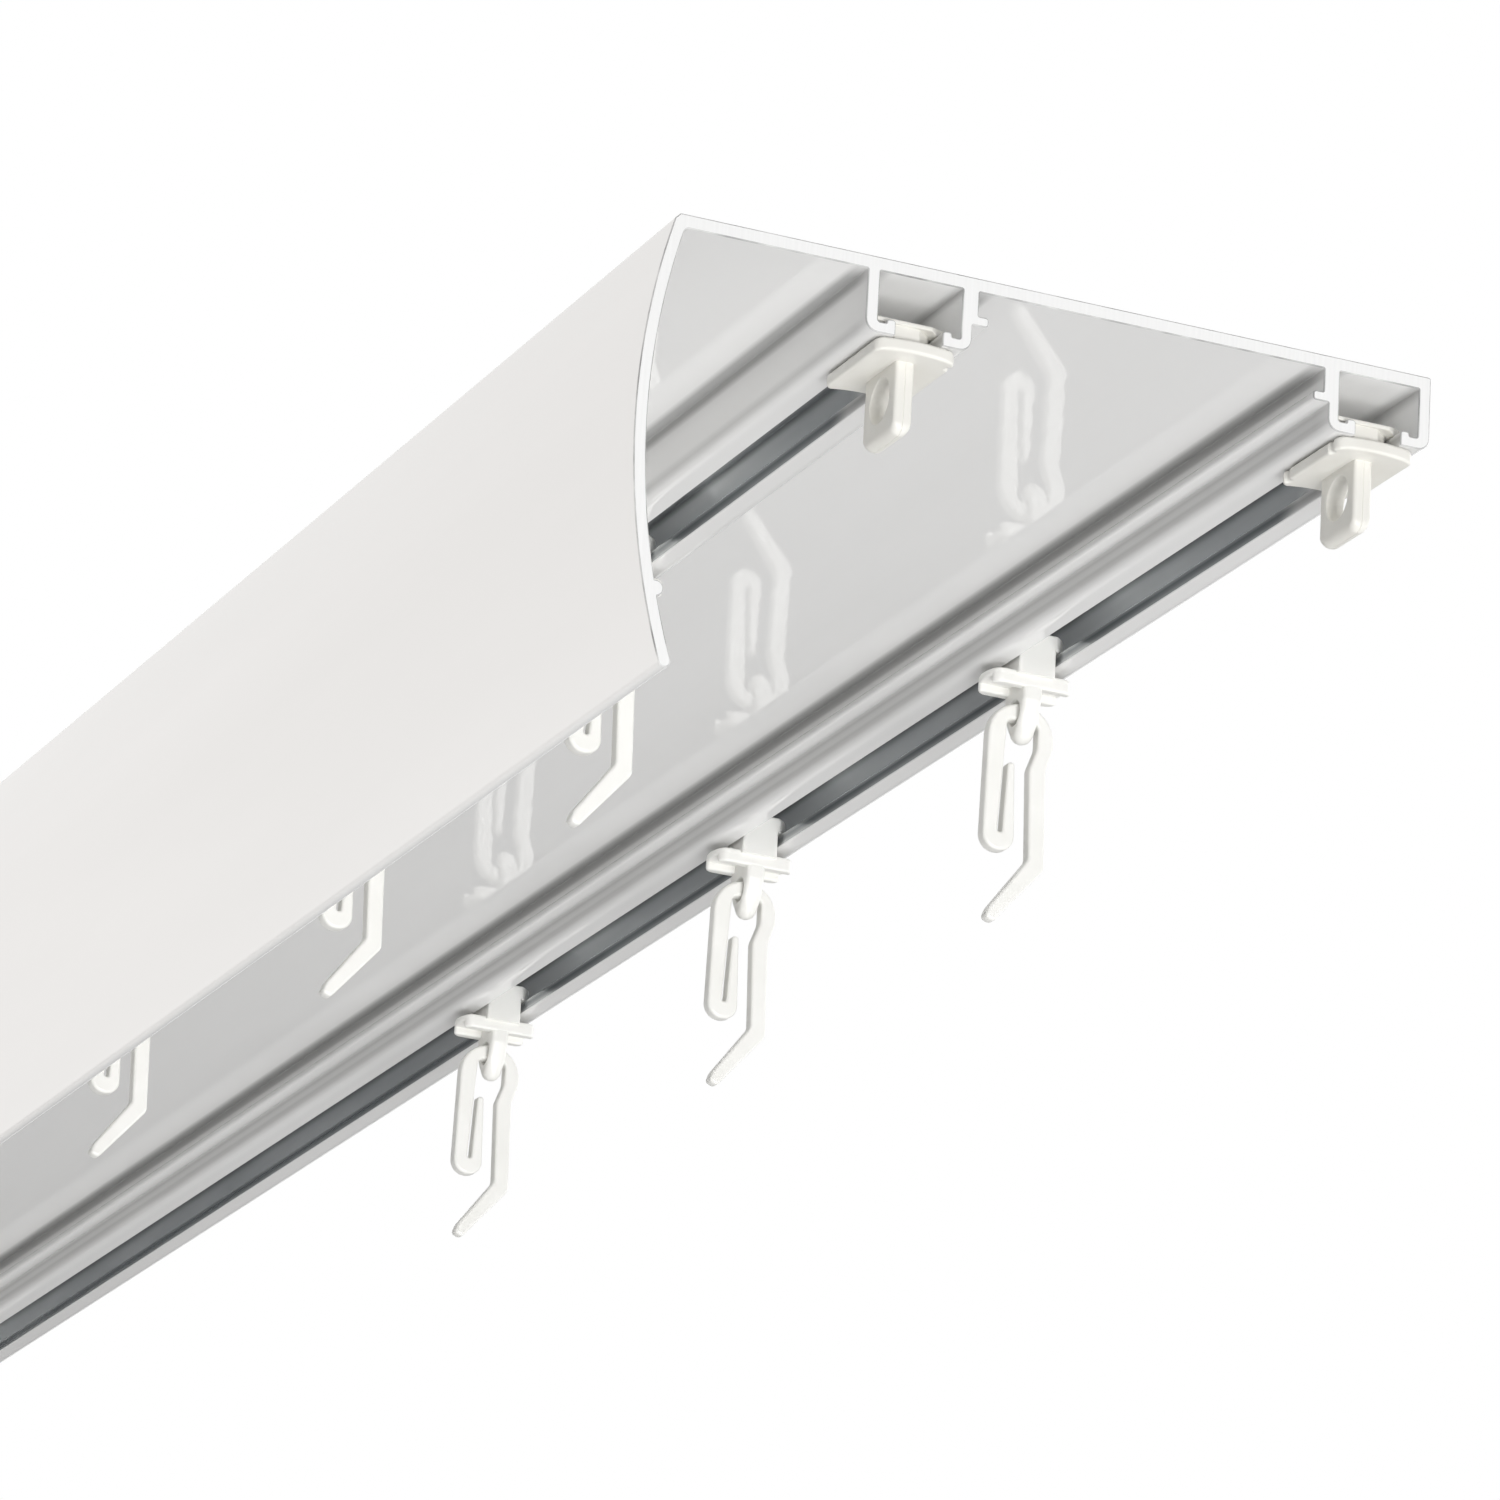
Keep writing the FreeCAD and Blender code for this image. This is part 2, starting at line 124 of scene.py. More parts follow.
# Glider
SEAT = 0.05
HEAD_RADIUS = 4.75
HEAD_HEIGHT = 2.0
NECK_LENGTH = 7.9
NECK_WIDTH = 5.2
FOOT_RADIUS = 5.9
FOOT_LENGTH = 6.4
FOOT_GAP = 1.3
FOOT_THICKNESS = 2.0
GROOVE_WIDTH = 3.2
GROOVE_DEPTH = 1.0
TAB_WIDTH = 6.3
TAB_THICKNESS = 2.66
TAB_STRAIGHT = 1.6
TAB_END_RADIUS = 1.9
EYE_BELOW_FOOT = 2.8
BELOW_EYE = 2.15
EYE_RADIUS = 1.7
GLIDER_EDGE = 0.25
FOOT_BOTTOM = LIP_BOTTOM - FOOT_GAP - FOOT_THICKNESS
EYE_HEIGHT = FOOT_BOTTOM - EYE_BELOW_FOOT

# Hook
HOOK_THICKNESS = 2.0
HOOK_EDGE = 0.42

# Camera, fitted to the photograph's 1500 x 1500 frame
CAMERA_PLACE = (1.0962, -0.3692, -0.3551)
CAMERA_YAW = 22.69
CAMERA_PITCH = 18.71
CAMERA_ROLL = 3.36
CAMERA_LENS = 193.9
CAMERA_SENSOR = 36.0

# Small sizes of the looks
ROOT = 0.15                  # inside corners of the extrusion
STOP_FINE_EDGE = 0.15        # rounding of a stop's head, neck and eye
STOP_CLEARANCE = 0.02        # between a stop's plate and the lips
PARTING = 0.09               # depth of the parting line round a stop's tab
TAB_EDGE = 0.6               # rounding of a glider's tab at its upper part
TAB_NOSE = 1.25              # rounding of the tab at its round end
TAB_SHOULDER = 1.5           # radius of the tab's shoulders
NECK_CORNER = 0.35           # radius of the neck's upright corners
FOOT_EDGE = 0.35             # rounding of a glider's foot
FOOT_CORNER = 0.8            # soft corner where the foot's flat sides meet its rim
EYE_ROOM = 1.3 * GLIDER_EDGE  # least distance of the tab's rounding from the eye
SUNK = 0.01                  # how far a skin lies inside the one beside it, so that no faces coincide
LEAST_RADIUS = 0.02          # of a slab's section at its ends
CREASE_ANGLE = 40            # degrees; a sharper bend is shaded as an edge
QUARTER_STEPS = 5            # points along a quarter round
SLAB_STEPS = 14              # points across a slab
FASCIA_STEPS = 72            # points along the fascia's outer arc, and along the inner one above the bead
BELOW_BEAD_STEPS = 16        # points along the inner arc below the bead
BEAD_STEPS = 14              # points along the bead, and along the fascia's tip
FILLET_STEPS = 7
EYE_STEP = 0.4               # widest spacing of points round a plate with an eye
COAT_STEP = 0.5              # widest spacing of the section's points

# Painted shade, a darker grey on the coat in the inside corners and along edges of the runs: y from the run's
# centre, z, reach, share of the painted shade.
# With a share above 1 the middle of the zone is fully shaded all through.
PAINTED_SHADE_ZONES = (
    (-RUN_INNER / 2 - RUN_WALL - 0.4, -TOP_THICKNESS, 1.75, 2.5),
    (-RUN_INNER / 2, -TOP_THICKNESS, 2.0, 0.8),
    (RUN_INNER / 2, -TOP_THICKNESS, 1.4, 0.8),
    (RUN_INNER / 2 + RIB_WALL + 0.4, -TOP_THICKNESS, 1.75, 3.0),
    (RUN_INNER / 2 + RIB_WALL + RIB_REACH, -RIB_DEPTH - 0.25, 1.0, 0.75),
    (RUN_INNER / 2 + BELOW_RIB_WALL, -RIB_DEPTH - RIB_THICKNESS - 0.7, 0.95, 0.9),
    (RUN_INNER / 2 + BELOW_RIB_WALL, LIP_BOTTOM + 1.4, 1.4, 0.9),
    (-RUN_INNER / 2 - RUN_WALL, LIP_BOTTOM + 0.9, 1.2, 0.55),
    (-SLOT / 2, LIP_BOTTOM + 1.0, 1.1, 1.0),
    (SLOT / 2, LIP_BOTTOM + 1.0, 1.1, 1.0),
    (SLOT / 2 + NIB_WIDTH / 2, NIB_TOP, 1.2, 0.4),
)
RUNS = {"front": FRONT_RUN, "rear": REAR_RUN}
GLIDERS_A_RUN = 4

# Finishes, and colours painted as light or shade: the dark and the light end of a colour that varies, or one
# colour
COAT_WHITE = (0.82, 0.818, 0.81), (0.845, 0.843, 0.836)
# painted shade on the coat in its inside corners and along edges
COAT_PAINTED_SHADE = (0.49, 0.49, 0.485)
PAINTED_SHADE_DEPTH = (-2, 4)          # the painted shade in the corners grows in between these depths from the cut
DRAWN_METAL = (0.69, 0.71, 0.72), (0.9, 0.91, 0.915)
# painted shade in the run's inside corners, deeper in
DRAWN_CORNER_PAINTED_SHADE = (0.25, 0.27, 0.28)
# brighter coat inside a run near the cut ends: painted light
INSIDE_COAT_PAINTED_LIGHT = (0.97, 0.97, 0.965)
# painted shade in the corners of that brighter coat
INSIDE_CORNER_PAINTED_SHADE = (0.55, 0.55, 0.545)
COAT_AND_PAINTED_LIGHT_DEPTH = (26, 32)       # the inside coat's painted light ends, and the bare metal begins, between these depths from the cut
METAL_SHARE = 0.6             # how metallic the bare metal looks
FILED_METAL = (0.25, 0.25, 0.25), (0.7, 0.7, 0.69)
SAWN_COAT = (0.86, 0.86, 0.855), (0.9, 0.9, 0.895)
# one ivory plastic: its darker copy on the stops is painted shade, its lighter copy on the gliders and hooks
# painted light
STOP_IVORY_PAINTED_SHADE = (0.80, 0.785, 0.735), (0.84, 0.83, 0.785)
HANGING_IVORY_PAINTED_LIGHT = (0.86, 0.855, 0.82), (0.9, 0.895, 0.865)

# Studio, in metres
WORLD_LEVEL = 0.38
FLOOR_HEIGHT = -3.6
FLOOR_SIZE = 9.0
FLOOR_COLOUR = (0.86, 0.86, 0.86, 1)
FLOOR_ROUGHNESS = 0.8
FLOOR_GLOW = 0.85             # share of plain white where the floor is seen
CARD_PLACE = (-1.5, 0.2)      # x, and the middle along y
CARD_SIZE = (3.2, 1.5)        # along y, and downwards
CARD_TOP = -0.1
CARD_GREY = 0.1
CARD_ROUGHNESS = 0.9
LAMP_DISTANCE = 2.6
# Direction from the object, side, level, colour
LAMPS = {
    "lamp_past_the_end": ((1.0, 0.02, -0.5), 1.2, 0.65, (1, 1, 1)),
    "lamp_in_front": ((-0.4, -1.0, 0.2), 1.6, 0.67, (1.0, 0.96, 0.93)),
    "lamp_below": ((0.1, 0.05, -1.0), 1.6, 0.17, (1, 1, 1)),
    "lamp_behind": ((-0.2, 1.0, 0.2), 1.6, 0.28, (1, 1, 1)),
}


# Outlines


def unit(vectors):
    """The vectors, each divided by its length."""
    return vectors / np.linalg.norm(vectors, axis=-1, keepdims=True)


def anticlockwise(outline):
    """The outline, turned round if its shoelace area, half the sum of a db - b da, is negative."""
    step = np.roll(outline, -1, 0) - outline
    area = np.sum(outline[:, 0] * step[:, 1] - outline[:, 1] * step[:, 0])
    return outline if area > 0 else outline[::-1]


def round_corners(corners, steps=6):
    """Arcs at the corners (a, b, radius) of a closed polygon, as an array (corner, step, 2).

    With half the corner's angle h, the arc's centre lies radius / sin h along the bisector, and the arc
    turns by 180 degrees less 2 h from one side's tangent point to the other's.
    """
    corners = np.asarray(corners, float)
    point, radius = corners[:, :2], corners[:, 2:]
    back = unit(np.roll(point, 1, 0) - point)
    ahead = unit(np.roll(point, -1, 0) - point)
    half = np.arccos(np.clip(np.sum(back * ahead, 1), -1, 1))[:, None] / 2
    centre = point + unit(back + ahead) * radius / np.sin(half)
    start = point + back * radius / np.tan(half) - centre
    turning = np.sign(back[:, 1] * ahead[:, 0] - back[:, 0] * ahead[:, 1])[:, None]
    angle = turning * (np.pi - 2 * half) * np.linspace(0, 1, steps)
    cos, sin = np.cos(angle), np.sin(angle)
    a = start[:, :1] * cos - start[:, 1:] * sin
    b = start[:, :1] * sin + start[:, 1:] * cos
    return centre[:, None] + np.dstack([a, b])


def closed_outline(corners, steps=6):
    """The polygon with rounded corners, as one anticlockwise row of points."""
    return anticlockwise(round_corners(corners, steps).reshape(-1, 2))


def arc(centre, radius, start, end, count):
    """centre + radius (cos t, sin t), with t going evenly from start to end, in radians."""
    turn = np.linspace(start, end, count)[:, None]
    return np.asarray(centre) + radius * np.hstack([np.cos(turn), np.sin(turn)])


def finer(outline, step):
    """The outline with points added at even shares of its long sides, so that none is longer than step."""
    side = np.roll(outline, -1, 0) - outline
    parts = np.maximum(np.ceil(np.linalg.norm(side, axis=1) / step), 1).astype(int)
    start = np.repeat(np.arange(len(outline)), parts)
    number = np.arange(parts.sum()) - np.repeat(np.cumsum(parts) - parts, parts)
    return outline[start] + side[start] * (number / parts[start])[:, None]


def outward(outline):
    """Unit normals of an anticlockwise outline: the sum of the right-hand normals of the two sides."""
    side = unit(np.roll(outline, -1, 0) - outline)
    normal = np.stack([side[:, 1], -side[:, 0]], 1)
    return unit(normal + np.roll(normal, 1, 0))


# Rings


def quarter_round(steps=QUARTER_STEPS):
    """(inset, depth) of a quarter round of radius 1: (1 - sin t, 1 - cos t), t from 0 to 90 degrees."""
    turn = np.linspace(0, np.pi / 2, steps)
    return 1 - np.sin(turn), 1 - np.cos(turn)


def prism(outline, low, high, edge, steps=QUARTER_STEPS):
    """Rings (a, b, height) of a prism from low to high, whose rims are quarter rounds.

    A ring at (inset, depth) is the outline moved in by edge * inset along its normals, and it lies
    edge * depth inside the face.  edge is one radius or one for each point of the outline.
    """
    inset, depth = quarter_round(steps)
    edge = np.broadcast_to(edge, len(outline))
    inward = np.concatenate([inset, inset[::-1]])[:, None] * edge
    height = np.concatenate([low + depth[:, None] * edge, high - depth[::-1, None] * edge])
    moved = outline - outward(outline) * inward[..., None]
    return np.dstack([moved, height])


def across(rings):
    """From (y, z, x) to (x, y, z)."""
    return rings[..., [2, 0, 1]]


def facing(rings):
    """From (x, z, y) to (x, y, z)."""
    return rings[..., [0, 2, 1]]


def eyed_plate(outline, centre, radius, low, high, edge, rim, groove=0.0):
    """Rings of a plate with a round eye, once round its wall and through the eye, back to the start.

    The outer rings follow the outline; the eye's rings are circles whose points lie at the same angles
    about the centre, so that the two faces are fans between the outline and the circle.  Where the
    groove has a depth, a parting line of that depth and twice the width runs round the outer wall.
    """
    outer = prism(outline, low, high, edge)
    middle = len(outer) // 2
    if groove:
        line = outline - outward(outline) * groove
        level = (low + high) / 2
        lower, upper = (np.column_stack([outline, np.full(len(outline), level + side * groove)])
                        for side in (-1, 1))
        sunk = np.column_stack([line, np.full(len(outline), level)])
        outer = np.concatenate([outer[:middle], [lower, sunk, upper], outer[middle:]])
    spoke = unit(outline - centre)
    inset, depth = quarter_round()
    size = np.concatenate([radius + rim * inset, radius + rim * inset[::-1]])
    height = np.concatenate([high - rim * depth, low + rim * depth[::-1]])
    circle = np.asarray(centre) + spoke[None] * size[:, None, None]
    inner = np.dstack([circle, np.broadcast_to(height[:, None], circle.shape[:2])])
    return np.concatenate([outer, inner])


def slab(x, inset, front, back, under, over, edge):
    """Rings of a slab carried along X.

    The section at x spans y from front to back and z from under(x, y) to over(x, y), all moved in by
    inset.  Its lower half is a quarter round, a run and a quarter round, and its upper half is the same.
    """
    x, inset, front, back = (np.asarray(value, float)[:, None] for value in (x, inset, front, back))
    low, high = front + inset, back - inset
    radius = np.maximum(edge - inset, LEAST_RADIUS)
    turn = np.linspace(0, np.pi / 2, QUARTER_STEPS)
    cos, sin = radius * np.cos(turn), radius * np.sin(turn)
    run = low + radius + np.linspace(0, 1, SLAB_STEPS)[1:-1] * (high - low - 2 * radius)
    y = np.hstack([low + radius - cos, run, high - radius + sin])
    rise = np.hstack([radius - sin, 0 * run, radius - cos])
    lower = under(x, y) + inset + rise
    upper = over(x, y) - inset - rise
    y, z = np.hstack([y, y[:, ::-1]]), np.hstack([lower, upper[:, ::-1]])
    return np.dstack([np.broadcast_to(x, y.shape), y, z])


def skin(rings, closed=False):
    """(points, faces): quads join each ring to the next.  The end rings are filled, or joined if closed."""
    count, around = rings.shape[:2]
    here = np.arange(count * around).reshape(count, around)
    beside = np.roll(here, -1, 1)
    quads = np.stack([here, beside, np.roll(beside, -1, 0), np.roll(here, -1, 0)], -1)
    kept = quads if closed else quads[:-1]
    ends = [] if closed else [here[0, ::-1].tolist(), here[-1].tolist()]
    return rings.reshape(-1, 3), kept.reshape(-1, 4).tolist() + ends


# Pieces


def make_piece(name, skins, materials, finish=None):
    """One mesh object from several closed skins, in metres, facing outwards, with even shading."""
    points, faces = [], []
    for skin_points, skin_faces in skins:
        start = sum(len(part) for part in points)
        points.append(skin_points)
        faces.extend([start + index for index in face] for face in skin_faces)
    mesh = bpy.data.meshes.new(name)
    mesh.from_pydata(np.concatenate(points) * MM, [], faces)
    for material in materials:
        mesh.materials.append(material)
    if finish is not None:
        mesh.polygons.foreach_set("material_index", finish)
    shell = bmesh.new()
    shell.from_mesh(mesh)
    bmesh.ops.recalc_face_normals(shell, faces=shell.faces)
    shell.to_mesh(mesh)
    shell.free()
    mesh.polygons.foreach_set("use_smooth", np.ones(len(mesh.polygons), bool))
    mesh.set_sharp_from_angle(angle=math.radians(CREASE_ANGLE))
    piece = bpy.data.objects.new(name, mesh)
    bpy.context.scene.collection.objects.link(piece)
    shading = piece.modifiers.new("even_shading", "WEIGHTED_NORMAL")
    shading.keep_sharp = True
    return piece


def stand_for(piece, node, body):
    """Lets the piece ride the body in place of the CAD node."""
    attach(piece, body)
    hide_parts(node)


def centre_along(node):
    """Middle of a CAD node's box along the track, in millimetres."""
    low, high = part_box(node)
    return (low.x + high.x) / 2 / MM


def moved(skins, x, y, half_turn=False):
    """The skins put at (x, y), after half a turn about the upright axis if asked for."""
    turn = np.array([-1, -1, 1]) if half_turn else np.array([1, 1, 1])
    return [(points * turn + (x, y, 0), faces) for points, faces in skins]


# Track


def run_corners():
    """Corners (y from the run's centre, z, radius) of one run, from its plain wall to its rib wall."""
    half, slot = RUN_INNER / 2, SLOT / 2
    outer, rib_wall, below = half + RUN_WALL, half + RIB_WALL, half + BELOW_RIB_WALL
    rib_bottom = -(RIB_DEPTH + RIB_THICKNESS)
    return np.array([
        (-outer, -TOP_THICKNESS, ROOT),
        (-outer, LIP_BOTTOM, RUN_CORNER),
        (-slot, LIP_BOTTOM, SLOT_EDGE),
        (-slot, NIB_TOP, NIB_CORNER),
        (-slot - NIB_WIDTH, NIB_TOP, NIB_CORNER),
        (-slot - NIB_WIDTH, LIP_TOP, ROOT),
        (-half, LIP_TOP, RUN_INNER_CORNER),
        (-half, -TOP_THICKNESS, ROOT),
        (half, -TOP_THICKNESS, ROOT),
        (half, LIP_TOP, RUN_INNER_CORNER),
        (slot + NIB_WIDTH, LIP_TOP, ROOT),
        (slot + NIB_WIDTH, NIB_TOP, NIB_CORNER),
        (slot, NIB_TOP, NIB_CORNER),
        (slot, LIP_BOTTOM, SLOT_EDGE),
        (below, LIP_BOTTOM, RUN_CORNER),
        (below, rib_bottom, ROOT),
        (rib_wall + RIB_REACH, rib_bottom, RIB_CORNER),
        (rib_wall + RIB_REACH, -RIB_DEPTH, RIB_CORNER),
        (rib_wall, -RIB_DEPTH, ROOT),
        (rib_wall, -TOP_THICKNESS, ROOT),
    ])


def track_outline():
    """The section once round, anticlockwise in (y, z).

    Down the fascia's outer arc, round its tip, up its inner arc with the bead's half round on the way,
    through the root fillet, along the underside with the two runs, and back along the top.
    """
    centre = np.array([FRONT_EDGE - FASCIA_BULGE + FASCIA_RADIUS, -FASCIA_BULGE_DEPTH])
    inner = FASCIA_RADIUS - FASCIA_WALL
    middle = FASCIA_RADIUS - FASCIA_WALL / 2
    tip = FASCIA_WALL / 2

    def turn_at(radius, depth):
        """Angle at which a circle about the centre is that deep: 180 degrees + asin(height / radius)."""
        return math.pi + math.asin((depth - FASCIA_BULGE_DEPTH) / radius)

    start = turn_at(FASCIA_RADIUS, TOP_EDGE_CHAMFER)
    end = turn_at(middle, FASCIA_DROP - tip)
    tip_centre = centre + middle * np.array([math.cos(end), math.sin(end)])
    bead = turn_at(inner, BEAD_DEPTH)
    bead_share = 2 * math.asin(BEAD_RADIUS / inner / 2)
    bead_centre = centre + inner * np.array([math.cos(bead), math.sin(bead)])
    fillet_z = -TOP_THICKNESS - FASCIA_ROOT
    fillet_y = centre[0] - math.sqrt((inner - FASCIA_ROOT) ** 2 - (fillet_z - centre[1]) ** 2)
    fillet_turn = math.atan2(fillet_z - centre[1], fillet_y - centre[0])
    outer_arc = arc(centre, FASCIA_RADIUS, start, end, FASCIA_STEPS)
    front_run = run_corners() + (FRONT_RUN, 0, 0)
    rear_run = run_corners()[::-1] * (-1, 1, 1) + (REAR_RUN, 0, 0)
    straight = np.concatenate([
        [(fillet_y, -TOP_THICKNESS, ROOT)],
        front_run,
        rear_run[:-1],
        [(BACK_EDGE, 0, PLATE_CORNER)],
        [(outer_arc[0, 0] + TOP_EDGE_CHAMFER, 0, ROOT)],
        [(outer_arc[0, 0], outer_arc[0, 1], ROOT)],
    ])
    return np.concatenate([
        outer_arc,
        arc(tip_centre, tip, end, end + math.pi, BEAD_STEPS)[1:],
        arc(centre, inner, end, bead + bead_share, BELOW_BEAD_STEPS)[1:],
        arc(bead_centre, BEAD_RADIUS, bead + (math.pi + bead_share) / 2,
            bead + (3 * math.pi - bead_share) / 2, BEAD_STEPS)[1:],
        arc(centre, inner, bead - bead_share, fillet_turn, FASCIA_STEPS)[1:],
        arc((fillet_y, fillet_z), FASCIA_ROOT, fillet_turn, math.pi / 2, FILLET_STEPS)[1:],
        round_corners(straight)[1:-1].reshape(-1, 2),
    ])


def painted_corner_shade(outline):
    """How much painted shade darkens each point of the section, from 0 to 1.

    It is the greatest of the zones' share (1 + cos(pi d / reach)) / 2, where d is the distance from the
    zone's middle, and nothing beyond its reach.  The rear run has the front run's zones mirrored.
    """
    zones = np.array(PAINTED_SHADE_ZONES)
    places = np.concatenate([zones[:, :2] + (FRONT_RUN, 0), zones[:, :2] * (-1, 1) + (REAR_RUN, 0)])
    reach, share = np.tile(zones[:, 2:], (2, 1)).T
    distance = np.linalg.norm(outline[:, None] - places[None], axis=2)
    painted_shade = share * (1 + np.cos(np.pi * np.minimum(distance / reach, 1))) / 2
    return np.minimum(painted_shade.max(1), 1)


def build_track(coat, inside, cut_end, cut_edge):
    """The section carried from end to end.  Each face gets its finish by the band it lies in.

    The bands round the rims are the filed edges, and the two fills are the sawn ends.  In the long middle
    band a face is inside if its section lies in a run, between the top plate and the slot.
    """
    on_coat, on_inside, on_end, on_edge = range(4)
    outline = finer(track_outline(), COAT_STEP)
    rings = across(prism(outline, LEFT_END, RIGHT_END, CUT_EDGE, steps=4))
    points, faces = skin(rings)
    y, z = outline.T
    in_run = np.minimum(abs(y - FRONT_RUN), abs(y - REAR_RUN)) < RUN_INNER / 2 + ROOT
    under = (z < -TOP_THICKNESS + ROOT) & (z > LIP_BOTTOM + SLOT_EDGE / 2)
    hidden = in_run & under & np.roll(in_run & under, -1)
    bands = np.full((len(rings) - 1, len(outline)), on_edge)
    bands[len(bands) // 2] = np.where(hidden, on_inside, on_coat)
    finish = np.concatenate([bands.ravel(), [on_end, on_end]])
    materials = [coat, inside, cut_end, cut_edge]
    piece = make_piece("curtain_track_profile", [(points, faces)], materials, finish)
    # painted shade: a share for each point that darkens the coat in the corners and along edges
    painted_shade = piece.data.attributes.new("painted_corner_shade", "FLOAT", "POINT")
    painted_shade.data.foreach_set("value", np.tile(painted_corner_shade(outline), len(rings)))
    stand_for(piece, "track_profile", "track")


# End stops


def cam(x, half_length, half_width, start):
    """(front, back) of a plan with two opposite corners cut at 45 degrees: the back edge is
    min(half width, start + half length - x), and the front edge is the same turned half a turn."""
    back = np.minimum(half_width, start + half_length - x)
    return -np.minimum(half_width, start + half_length + x), back


def along(half_length, edge, count=30, extra=()):
    """(x, inset) of a slab's rings, with quarter rounds of radius edge at both ends."""
    inset, depth = quarter_round()
    body = np.linspace(edge - half_length, half_length - edge, count)
    body = np.unique(np.round(np.concatenate([body, *extra]), 5))[1:-1]
    x = np.concatenate([edge * depth - half_length, body, half_length - edge * depth[::-1]])
    return x, np.concatenate([edge * inset, 0 * body, edge * inset[::-1]])


def stop_plate():
    """Bowed plate with rounded corners and two scallops in its front edge.

    z rises by arch (1 - (y / half width)^2).  At x, a scallop about x = c bites sqrt(r^2 - (x - c)^2), less
    a third of r, because its centre lies that far outside the edge.
    """
    half_length, half_width = STOP_LENGTH / 2, STOP_PLATE_WIDTH / 2
    scallops = [side * STOP_SCALLOP_SPACING / 2 for side in (-1, 1)]
    near = [scallop + np.linspace(-1, 1, 15) * STOP_SCALLOP for scallop in scallops]
    corner = half_length - STOP_CORNER * (1 - np.sin(np.linspace(0, np.pi / 2, 7)))
    corner = corner[corner < half_length - STOP_EDGE]
    x, inset = along(half_length, STOP_EDGE, extra=[*near, corner, -corner])
    beyond = np.clip(abs(x) - (half_length - STOP_CORNER), 0, STOP_CORNER)
    cut = STOP_CORNER - np.sqrt(STOP_CORNER ** 2 - beyond ** 2)
    bite = sum(np.sqrt(np.clip(STOP_SCALLOP ** 2 - (x - place) ** 2, 0, None)) for place in scallops)
    front = -half_width + np.maximum(cut, np.maximum(bite - STOP_SCALLOP / 3, 0))
    crest = LIP_BOTTOM - STOP_CLEARANCE + STOP_ARCH * (SLOT / 2 / half_width) ** 2

    def over(x, y):
        """Bowed top."""
        return crest - STOP_ARCH * (y / half_width) ** 2 + 0 * x

    def under(x, y):
        """The top, lowered by the thickness."""
        return over(x, y) - STOP_PLATE_THICKNESS

    return skin(slab(x, inset, front, half_width - cut, under, over, STOP_EDGE))


def stop_head():
    """Head in the run: its top falls to a thin lead at both ends."""
    half_length = STOP_LENGTH / 2 - STOP_HEAD_INSET
    bottom = NIB_TOP + SEAT
    slope = (STOP_HEAD_THICKNESS - STOP_LEAD_THICKNESS) / STOP_LEAD_LENGTH
    x, inset = along(half_length, STOP_FINE_EDGE)

    def over(x, y):
        """Top: flat in the middle, and lower by slope times the distance in both leads."""
        lead = STOP_LEAD_THICKNESS + slope * (half_length - abs(x))
        return bottom + np.minimum(STOP_HEAD_THICKNESS, lead) + 0 * y

    def under(x, y):
        """Flat bottom."""
        return bottom + 0 * (x + y)

    front, back = cam(x, half_length, STOP_HEAD_WIDTH / 2, STOP_HEAD_CAM)
    return skin(slab(x, inset, front, back, under, over, STOP_FINE_EDGE))


def stop_neck():
    """Neck in the slot: from the middle of the plate to the middle of the head's lead, cut to a cam."""
    half_length = STOP_LENGTH / 2 - STOP_HEAD_INSET - STOP_EDGE
    x, inset = along(half_length, STOP_FINE_EDGE)
    front, back = cam(x, half_length, STOP_NECK_WIDTH / 2, STOP_NECK_CAM)

    def over(x, y):
        """Flat top, inside the head."""
        return NIB_TOP + SEAT + STOP_LEAD_THICKNESS / 2 + 0 * (x + y)

    def under(x, y):
        """Flat bottom, inside the plate."""
        return LIP_BOTTOM - STOP_PLATE_THICKNESS / 2 + 0 * (x + y)

    return skin(slab(x, inset, front, back, under, over, STOP_FINE_EDGE))


def stop_tab():
    """Tab with the eye: its edge radius grows from the fine edge above to the nose below."""
    half = STOP_TAB_WIDTH / 2
    top, bottom = LIP_BOTTOM - STOP_PLATE_THICKNESS / 2, LIP_BOTTOM - STOP_TAB_DROP
    outline = closed_outline([(-half, top, STOP_TAB_EDGE), (half, top, STOP_TAB_EDGE),
                              (half, bottom, STOP_TAB_CORNER), (-half, bottom, STOP_TAB_CORNER)], steps=12)
    outline = finer(outline, EYE_STEP)
    share = np.clip((bottom + STOP_TAB_CORNER - outline[:, 1]) / STOP_TAB_CORNER, 0, 1)
    edge = STOP_TAB_EDGE + (STOP_TAB_NOSE - STOP_TAB_EDGE) * share
    eye = (0, LIP_BOTTOM - STOP_EYE_DROP)
    thickness = STOP_TAB_THICKNESS / 2
    rings = eyed_plate(outline, eye, STOP_EYE_RADIUS, -thickness, thickness, edge, STOP_FINE_EDGE, PARTING)
    return skin(facing(rings), closed=True)


def build_stops(plastic):
    """The same stop at all four ends, turned half a turn in the front run."""
    skins = [stop_plate(), stop_head(), stop_neck(), stop_tab()]
    for run, run_y in RUNS.items():
        for end in ("right", "left"):
            node = "end_stop_" + run + "_" + end
            placed = moved(skins, centre_along(node), run_y, half_turn=run == "front")
            piece = make_piece("clamping_" + node, placed, [plastic])
            stand_for(piece, node, "track")


# Gliders


